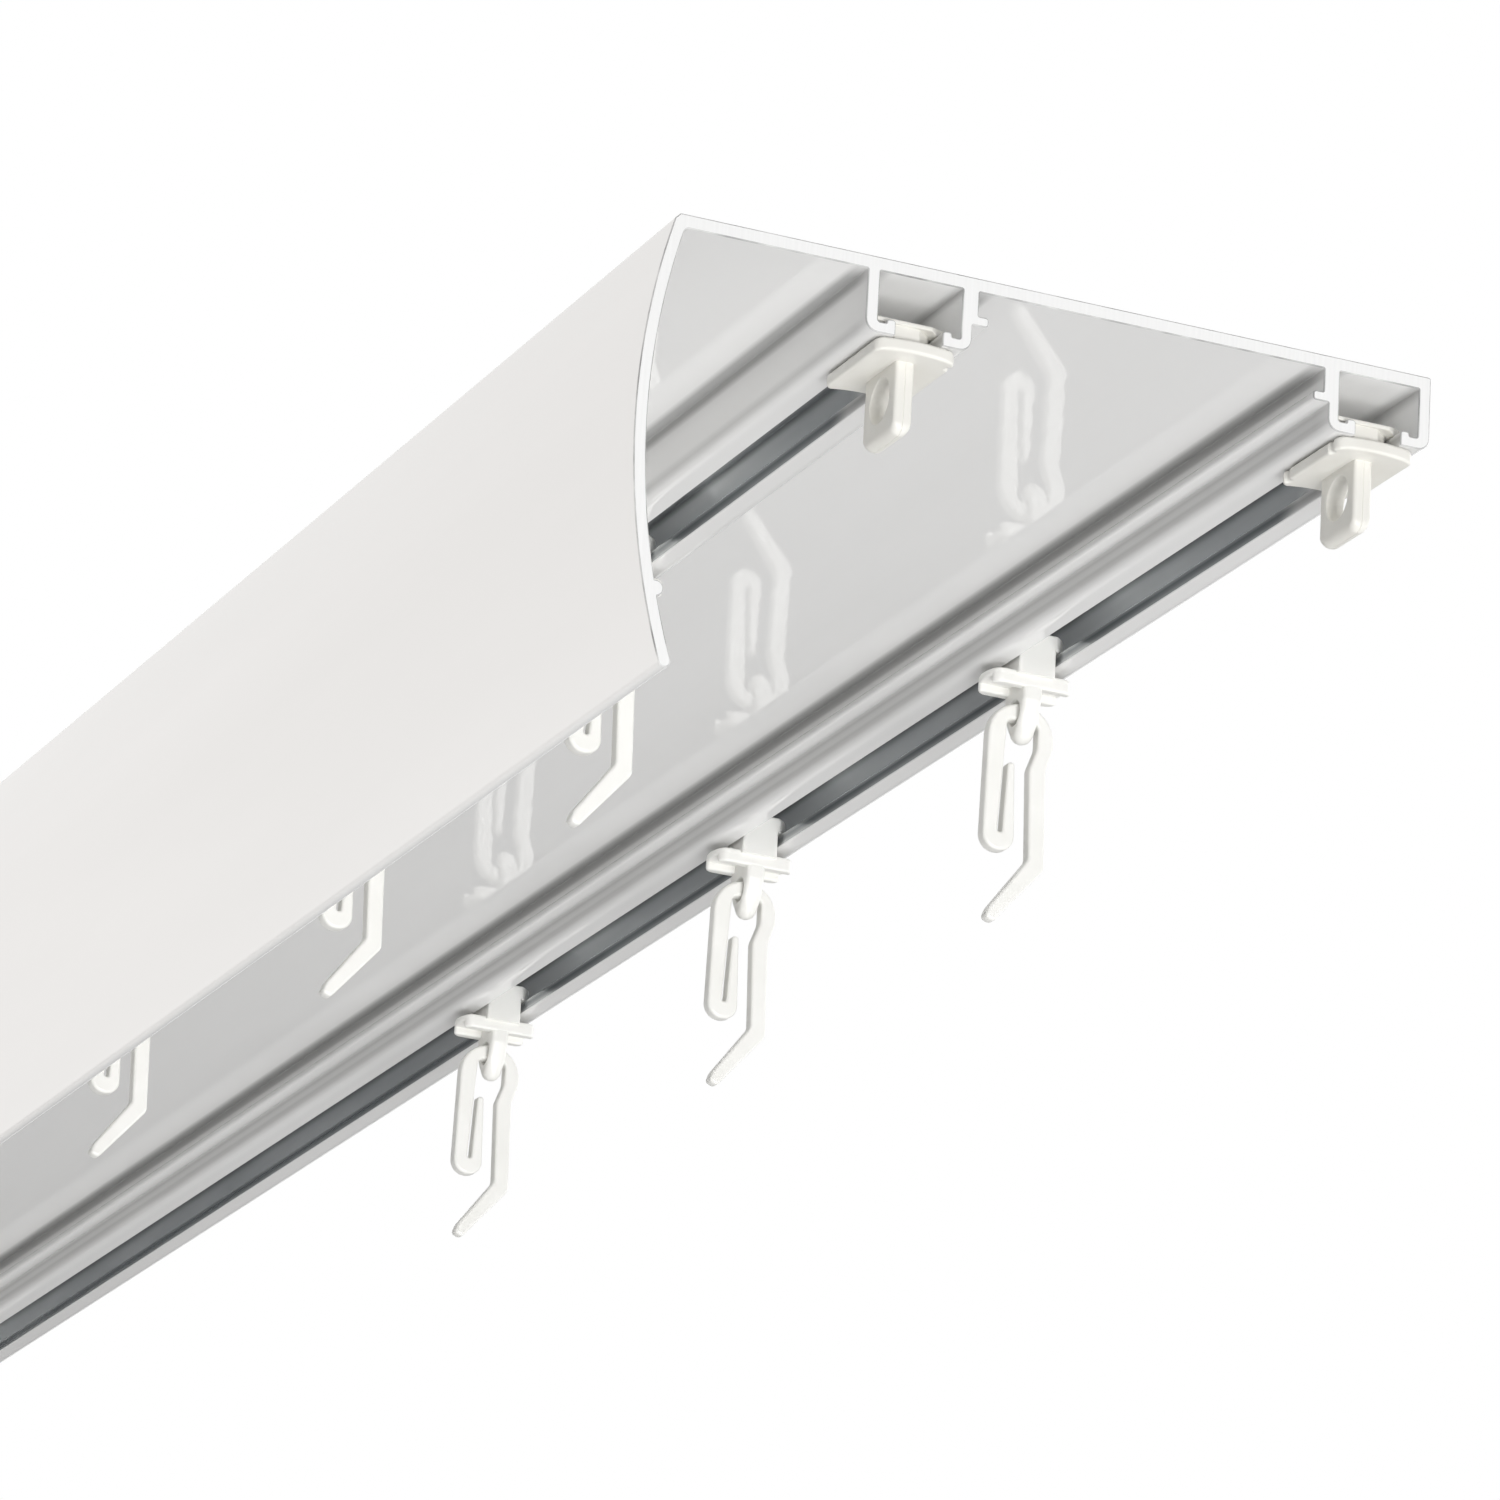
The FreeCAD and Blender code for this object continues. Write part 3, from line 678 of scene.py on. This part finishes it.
def flat_sided_disc(radius, low_x, high_x, corner):
    """Outline of a disc between x = low_x and x = high_x, with soft corners.

    A corner is the curve (1 - t)^2 A + 2 t (1 - t) B + t^2 C, from A on the flat, past the corner B,
    to C on the rim; A and C lie at the same distance from B.
    """
    turn = np.arccos(np.array([high_x, low_x]) / radius)
    sharp = radius * np.column_stack([np.cos(turn), np.sin(turn)])
    share = np.linspace(0, 1, 7)[:, None]
    rim = arc((0, 0), radius, turn[0] + corner / radius, turn[1] - corner / radius, 20)

    def soft(start, middle, end):
        """Points of the soft corner from start past middle to end."""
        return (1 - share) ** 2 * start + 2 * share * (1 - share) * middle + share ** 2 * end

    upper = np.concatenate([soft(sharp[0] - (0, corner), sharp[0], rim[0]), rim[1:-1],
                            soft(rim[-1], sharp[1], sharp[1] - (0, corner))])
    return np.concatenate([upper, upper[::-1] * (1, -1)])


def glider_foot():
    """Web, and below it a rib along each flat side, so that a groove is left between the ribs."""
    half = FOOT_LENGTH / 2
    web = flat_sided_disc(FOOT_RADIUS - SUNK, SUNK - half, half - SUNK, FOOT_CORNER)
    rib = flat_sided_disc(FOOT_RADIUS, GROOVE_WIDTH / 2, half, FOOT_CORNER)
    groove_top = FOOT_BOTTOM + GROOVE_DEPTH
    low, high = FOOT_BOTTOM, groove_top + GROOVE_DEPTH / 2
    return [
        skin(prism(web, groove_top, FOOT_BOTTOM + FOOT_THICKNESS, FOOT_EDGE)),
        skin(prism(rib, low, high, FOOT_EDGE)),
        skin(prism(rib[::-1] * (-1, 1), low, high, FOOT_EDGE)),
    ]


def glider_tab():
    """Tab whose sides run from the shoulders to the round end as tangents, rounder towards the end, but
    never so round that the eye's rim is reached.

    A line from the shoulder (w, s) touches the end circle of radius r about (0, c) at the angle
    atan2(s - c, w) - acos(r / distance), and the two lines meet at c + r / sin(that angle).
    """
    half = TAB_WIDTH / 2
    top, shoulder = FOOT_BOTTOM + FOOT_THICKNESS - GLIDER_EDGE, FOOT_BOTTOM - TAB_STRAIGHT
    end = EYE_HEIGHT - BELOW_EYE
    rise = shoulder - end
    touch = math.atan2(rise, half) - math.acos(TAB_END_RADIUS / math.hypot(half, rise))
    apex = end + TAB_END_RADIUS / math.sin(touch)
    outline = closed_outline([(half, top, TAB_EDGE), (-half, top, TAB_EDGE), (-half, shoulder, TAB_SHOULDER),
                              (0, apex, TAB_END_RADIUS), (half, shoulder, TAB_SHOULDER)], steps=16)
    outline = finer(outline, EYE_STEP)
    thickness = TAB_THICKNESS / 2
    share = np.clip((shoulder - outline[:, 1]) / rise, 0, 1)
    room = np.linalg.norm(outline - (0, EYE_HEIGHT), axis=1) - EYE_RADIUS - EYE_ROOM
    edge = np.minimum(TAB_EDGE + (TAB_NOSE - TAB_EDGE) * share, room)
    rings = eyed_plate(outline, (0, EYE_HEIGHT), EYE_RADIUS, -thickness, thickness, edge, GLIDER_EDGE)
    return skin(facing(rings), closed=True)


def glider_skins():
    """Head on the nibs, neck in the slot, foot and tab.  The neck ends inside the head and the foot."""
    half_length, half_width, bottom = NECK_LENGTH / 2, NECK_WIDTH / 2, NIB_TOP + SEAT
    head = flat_sided_disc(HEAD_RADIUS, SUNK - half_length, half_length - SUNK, GLIDER_EDGE)
    neck = closed_outline([(x * half_length, y * half_width, NECK_CORNER)
                           for x, y in ((-1, -1), (1, -1), (1, 1), (-1, 1))])
    neck_bottom = FOOT_BOTTOM + FOOT_THICKNESS * 3 / 4
    return [
        skin(prism(head, bottom, bottom + HEAD_HEIGHT, GLIDER_EDGE)),
        skin(prism(neck, neck_bottom, bottom + HEAD_HEIGHT - GLIDER_EDGE, SUNK)),
        *glider_foot(),
        glider_tab(),
    ]


def build_gliders(plastic):
    """The same glider at the place of each glider of the part."""
    skins = glider_skins()
    for run, run_y in RUNS.items():
        for number in range(1, GLIDERS_A_RUN + 1):
            name = "glider_%s_%d" % (run, number)
            piece = make_piece("moulded_" + name, moved(skins, centre_along(name), run_y), [plastic])
            stand_for(piece, name, name)


# Hooks


def hook_skin():
    """Flat hook that hangs by its crown, carried along X.

    Its corners are (y from the run's centre, z from the eye, radius): up the front leg, over the crown,
    down the shank to the bent point and back up, under the crown, down the slit and over the short leg.
    """
    corners = np.array([
        (-5.25, -19.0, 2.2),
        (-5.0, 1.15, 4.6),
        (4.25, 1.15, 4.6),
        (4.2, -4.45, 2.5),
        (3.25, -7.1, 2.5),
        (3.65, -20.7, 1.4),
        (-3.05, -28.6, 0.6),
        (-4.35, -28.1, 0.6),
        (-3.85, -26.7, 3.0),
        (1.33, -19.6, 1.2),
        (0.9, -7.4, 2.5),
        (1.93, -4.55, 2.0),
        (1.95, -1.15, 0.9),
        (-2.45, -1.15, 0.9),
        (-2.65, -5.6, 9.0),
        (-3.2, -16.5, 0.3),
        (-2.5, -16.5, 0.3),
        (-2.1, -6.95, 0.45),
        (-1.15, -6.95, 0.45),
        (-0.7, -19.0, 2.0),
    ])
    outline = closed_outline(corners + (0, EYE_HEIGHT, 0), steps=9)
    return skin(across(prism(outline, -HOOK_THICKNESS / 2, HOOK_THICKNESS / 2, HOOK_EDGE)))


def build_hooks(plastic):
    """The same hook in the eye of each glider."""
    hook = hook_skin()
    for run, run_y in RUNS.items():
        for number in range(1, GLIDERS_A_RUN + 1):
            node = "hook_%s_%d" % (run, number)
            piece = make_piece("curtain_" + node, moved([hook], centre_along(node), run_y), [plastic])
            stand_for(piece, node, node)


# Materials


def new_material(name):
    """A new node material: (material, function that adds a node, function that links sockets, shader).

    The first function takes the node's settings by name; a name with a capital is an input.
    """
    material = bpy.data.materials.new(name)
    material.use_nodes = True
    tree = material.node_tree

    def add(kind, **settings):
        """Adds a shader node of that kind."""
        node = tree.nodes.new("ShaderNode" + kind)
        for key, value in settings.items():
            if key[0].isupper():
                node.inputs[key].default_value = value
            else:
                setattr(node, key, value)
        return node

    return material, add, tree.links.new, tree.nodes["Principled BSDF"]


def stretched_noise(add, link, scale, detail):
    """Noise on Object coordinates.  scale holds the grains per metre along X, Y and Z."""
    place = add("TexCoord")
    mapping = add("Mapping", Scale=scale)
    noise = add("TexNoise", Scale=1.0, Detail=detail)
    link(place.outputs["Object"], mapping.inputs["Vector"])
    link(mapping.outputs["Vector"], noise.inputs["Vector"])
    return noise.outputs["Fac"]


def shade_range(add, link, value, dark, light):
    """A colour that goes from dark to light as the noise value goes from 0.3 to 0.7."""
    ramp = add("ValToRGB")
    ramp.color_ramp.elements[0].position = 0.3
    ramp.color_ramp.elements[1].position = 0.7
    ramp.color_ramp.elements[0].color = (*dark, 1)
    ramp.color_ramp.elements[1].color = (*light, 1)
    link(value, ramp.inputs["Fac"])
    return ramp.outputs["Color"]


def raise_surface(add, link, shader, layers):
    """Stacks bumps on the shader: layers are (height value, distance in metres, strength)."""
    previous = None
    for value, distance, strength in layers:
        bump = add("Bump", Distance=distance, Strength=strength)
        link(value, bump.inputs["Height"])
        if previous is not None:
            link(previous, bump.inputs["Normal"])
        previous = bump.outputs["Normal"]
    link(previous, shader.inputs["Normal"])


def roughness_range(add, link, shader, value, low, high):
    """Roughness that goes from low to high with the noise value."""
    spread = add("MapRange")
    spread.inputs["To Min"].default_value = low
    spread.inputs["To Max"].default_value = high
    link(value, spread.inputs["Value"])
    link(spread.outputs["Result"], shader.inputs["Roughness"])


def blended(add, link, share, first, second):
    """The first colour where the share is 0 and the second where it is 1; each is a socket or a colour."""
    at_0, at_1, result = 6, 7, 2    # the node's colour sockets
    mix = add("Mix", data_type="RGBA")
    link(share, mix.inputs["Factor"])
    for colour, socket in ((first, mix.inputs[at_0]), (second, mix.inputs[at_1])):
        if isinstance(colour, tuple):
            socket.default_value = (*colour, 1)
        else:
            link(colour, socket)
    return mix.outputs[result]


def range_share(add, link, value, start, end):
    """0 where the value is start, 1 where it is end, smooth in between."""
    share = add("MapRange", interpolation_type="SMOOTHSTEP")
    share.inputs["From Min"].default_value = start
    share.inputs["From Max"].default_value = end
    link(value, share.inputs["Value"])
    return share.outputs["Result"]


def times(add, link, first, second):
    """Product of two sockets."""
    product = add("Math", operation="MULTIPLY")
    link(first, product.inputs[0])
    link(second, product.inputs[1])
    return product.outputs[0]


def depth_from_cut(add, link, start, end):
    """0 nearer than start to a cut end, in millimetres, and 1 deeper than end.

    The depth is half the length less |x|.
    """
    place = add("TexCoord")
    axes = add("SeparateXYZ")
    size = add("Math", operation="ABSOLUTE")
    link(place.outputs["Object"], axes.inputs["Vector"])
    link(axes.outputs["X"], size.inputs[0])
    return range_share(add, link, size.outputs[0], (RIGHT_END - start) * MM, (RIGHT_END - end) * MM)


def white_coat():
    """Glossy white coat on an extruded bar: faint die lines along X under a fine orange peel.

    In the inside corners and along some edges, shade is painted in as a darker grey.
    """
    material, add, link, shader = new_material("white_coat")
    tone = stretched_noise(add, link, (6, 60, 60), 3)
    coat = shade_range(add, link, tone, *COAT_WHITE)
    # painted shade from the corner share, fading in from the cut end
    painted_shade = add("Attribute", attribute_name="painted_corner_shade")
    shown = times(add, link, painted_shade.outputs["Fac"], depth_from_cut(add, link, *PAINTED_SHADE_DEPTH))
    link(blended(add, link, shown, coat, COAT_PAINTED_SHADE), shader.inputs["Base Color"])
    die_lines = stretched_noise(add, link, (3, 320, 320), 1)
    peel = stretched_noise(add, link, (900, 900, 900), 2)
    roughness_range(add, link, shader, peel, 0.02, 0.05)
    raise_surface(add, link, shader, [(die_lines, 0.00003, 0.6), (peel, 0.000002, 0.4)])
    return material


def run_inside():
    """Inside of a run: a brighter coat near the cut ends, which is painted light, and bare drawn metal,
    slightly blue, deeper in; its corners get painted shade.
    """
    material, add, link, shader = new_material("run_inside_painted_light_and_shade")
    tone = stretched_noise(add, link, (22, 160, 160), 3)
    metal = shade_range(add, link, tone, *DRAWN_METAL)
    # painted shade in the corners, and painted light near the cut that fades into the bare metal deeper in
    painted_shade = add("Attribute", attribute_name="painted_corner_shade")
    deep = blended(add, link, painted_shade.outputs["Fac"], metal, DRAWN_CORNER_PAINTED_SHADE)
    near = blended(add, link, painted_shade.outputs["Fac"], INSIDE_COAT_PAINTED_LIGHT, INSIDE_CORNER_PAINTED_SHADE)
    depth = depth_from_cut(add, link, *COAT_AND_PAINTED_LIGHT_DEPTH)
    link(blended(add, link, depth, near, deep), shader.inputs["Base Color"])
    bare = add("Math", operation="MULTIPLY")
    bare.inputs[1].default_value = METAL_SHARE
    link(depth, bare.inputs[0])
    link(bare.outputs["Value"], shader.inputs["Metallic"])
    die_lines = stretched_noise(add, link, (6, 900, 900), 2)
    roughness_range(add, link, shader, die_lines, 0.16, 0.28)
    raise_surface(add, link, shader, [(die_lines, 0.00002, 0.5)])
    return material


def filed_edge():
    """Edge of the cut: the file takes the coat off unevenly, down to the grey metal."""
    material, add, link, shader = new_material("filed_edge")
    wear = stretched_noise(add, link, (200, 200, 200), 3)
    link(shade_range(add, link, wear, *FILED_METAL), shader.inputs["Base Color"])
    roughness_range(add, link, shader, wear, 0.35, 0.5)
    raise_surface(add, link, shader, [(wear, 0.00002, 0.4)])
    return material


def sawn_end():
    """Coated cut end: fine parallel marks of the saw."""
    material, add, link, shader = new_material("sawn_end")
    marks = stretched_noise(add, link, (900, 2500, 60), 3)
    link(shade_range(add, link, marks, *SAWN_COAT), shader.inputs["Base Color"])
    roughness_range(add, link, shader, marks, 0.4, 0.55)
    raise_surface(add, link, shader, [(marks, 0.00002, 0.4)])
    return material


def moulded_plastic(name, dark, light, low, high):
    """Ivory moulded plastic: faint cloudy tone, satin skin with a fine eroded texture.

    dark and light are the ends of its colour, low and high those of its roughness.
    """
    material, add, link, shader = new_material(name)
    tone = stretched_noise(add, link, (160, 160, 160), 3)
    link(shade_range(add, link, tone, dark, light), shader.inputs["Base Color"])
    skin_texture = stretched_noise(add, link, (2600, 2600, 2600), 3)
    roughness_range(add, link, shader, skin_texture, low, high)
    raise_surface(add, link, shader, [(skin_texture, 0.000012, 0.2)])
    return material


# Stage


def seen_directly(tree):
    """1 for a camera, glossy or transmission ray, and 0 for any other."""
    path = tree.nodes.new("ShaderNodeLightPath")
    total = path.outputs["Is Camera Ray"]
    for kind in ("Is Glossy Ray", "Is Transmission Ray"):
        either = tree.nodes.new("ShaderNodeMath")
        either.operation = "MAXIMUM"
        tree.links.new(total, either.inputs[0])
        tree.links.new(path.outputs[kind], either.inputs[1])
        total = either.outputs[0]
    return total


def build_world():
    """White where it is seen or mirrored, and a softer level where it lights the object."""
    world = bpy.data.worlds.new("studio")
    bpy.context.scene.world = world
    world.use_nodes = True
    tree = world.node_tree
    background = tree.nodes["Background"]
    background.inputs["Color"].default_value = (1, 1, 1, 1)
    level = tree.nodes.new("ShaderNodeMapRange")
    level.inputs["To Min"].default_value = WORLD_LEVEL
    level.inputs["To Max"].default_value = 1.0
    tree.links.new(seen_directly(tree), level.inputs["Value"])
    tree.links.new(level.outputs["Result"], background.inputs["Strength"])


def build_floor():
    """Pale floor of the room, far below the ceiling, which glows where it is seen or mirrored."""
    size, corners = FLOOR_SIZE / 2, [(-1, -1), (1, -1), (1, 1), (-1, 1)]
    mesh = bpy.data.meshes.new("floor")
    mesh.from_pydata([(a * size, b * size, FLOOR_HEIGHT) for a, b in corners], [], [(0, 1, 2, 3)])
    floor = bpy.data.objects.new("floor", mesh)
    bpy.context.scene.collection.objects.link(floor)
    material = bpy.data.materials.new("pale_floor")
    material.use_nodes = True
    tree = material.node_tree
    shader = tree.nodes["Principled BSDF"]
    shader.inputs["Base Color"].default_value = FLOOR_COLOUR
    shader.inputs["Roughness"].default_value = FLOOR_ROUGHNESS
    glow = tree.nodes.new("ShaderNodeEmission")
    share = tree.nodes.new("ShaderNodeMath")
    share.operation = "MULTIPLY"
    share.inputs[1].default_value = FLOOR_GLOW
    mix = tree.nodes.new("ShaderNodeMixShader")
    tree.links.new(seen_directly(tree), share.inputs[0])
    tree.links.new(share.outputs[0], mix.inputs["Fac"])
    tree.links.new(shader.outputs["BSDF"], mix.inputs[1])
    tree.links.new(glow.outputs["Emission"], mix.inputs[2])
    tree.links.new(mix.outputs["Shader"], tree.nodes["Material Output"].inputs["Surface"])
    mesh.materials.append(material)


def build_card():
    """Grey card that stands past the far end, below the ceiling, and shows only in what the gloss mirrors."""
    x, middle = CARD_PLACE
    half = CARD_SIZE[0] / 2
    corners = [(x, middle + side * half, CARD_TOP - drop) for side, drop in
               ((-1, CARD_SIZE[1]), (1, CARD_SIZE[1]), (1, 0), (-1, 0))]
    mesh = bpy.data.meshes.new("grey_card")
    mesh.from_pydata(corners, [], [(0, 1, 2, 3)])
    card = bpy.data.objects.new("grey_card", mesh)
    bpy.context.scene.collection.objects.link(card)
    card.visible_camera = False
    card.visible_diffuse = False
    card.visible_shadow = False
    material = bpy.data.materials.new("card_grey")
    material.use_nodes = True
    shader = material.node_tree.nodes["Principled BSDF"]
    shader.inputs["Base Color"].default_value = (CARD_GREY, CARD_GREY, CARD_GREY, 1)
    shader.inputs["Roughness"].default_value = CARD_ROUGHNESS
    mesh.materials.append(material)


def softbox(name, toward_lamp, size, level, colour):
    """Square lamp in a direction from the object, facing it.

    A lamp of power P, far enough away, lights a surface that faces it at the level
    P / (pi distance)^2, where level 1 shows a white surface as white.
    """
    place = unit(np.array(toward_lamp, float)) * LAMP_DISTANCE
    data = bpy.data.lights.new(name, "AREA")
    data.size = size
    data.energy = level * (math.pi * LAMP_DISTANCE) ** 2
    data.color = colour
    lamp = bpy.data.objects.new(name, data)
    lamp.location = place
    lamp.rotation_mode = "QUATERNION"
    lamp.rotation_quaternion = Vector(place).to_track_quat("Z", "Y")
    bpy.context.scene.collection.objects.link(lamp)


def build_camera():
    """Camera at the fitted place; its axes are turned about the line of sight by the roll."""
    yaw, pitch, roll = (math.radians(value) for value in (CAMERA_YAW, CAMERA_PITCH, CAMERA_ROLL))
    ahead = np.array([-math.cos(yaw) * math.cos(pitch), math.sin(yaw) * math.cos(pitch), math.sin(pitch)])
    right = np.array([math.sin(yaw), math.cos(yaw), 0])
    up = np.cross(right, ahead)
    side = math.cos(roll) * right + math.sin(roll) * up
    top = math.cos(roll) * up - math.sin(roll) * right
    data = bpy.data.cameras.new("camera")
    data.lens = CAMERA_LENS
    data.sensor_width = CAMERA_SENSOR
    camera = bpy.data.objects.new("camera", data)
    place = np.eye(4)
    place[:3] = np.column_stack([side, top, -ahead, CAMERA_PLACE])
    bpy.context.scene.collection.objects.link(camera)
    camera.matrix_world = Matrix(place)
    bpy.context.scene.camera = camera


def main():
    bpy.context.scene.view_settings.view_transform = "Standard"
    build_camera()
    build_track(white_coat(), run_inside(), sawn_end(), filed_edge())
    # the stops' darker ivory is painted shade, the gliders' and hooks' lighter ivory painted light
    build_stops(moulded_plastic("stop_plastic_satin", *STOP_IVORY_PAINTED_SHADE, 0.3, 0.42))
    build_gliders(moulded_plastic("glider_plastic_satin", *HANGING_IVORY_PAINTED_LIGHT, 0.28, 0.4))
    build_hooks(moulded_plastic("hook_plastic_satin", *HANGING_IVORY_PAINTED_LIGHT, 0.25, 0.36))
    build_world()
    build_floor()
    build_card()
    for name, lamp in LAMPS.items():
        softbox(name, *lamp)


main()
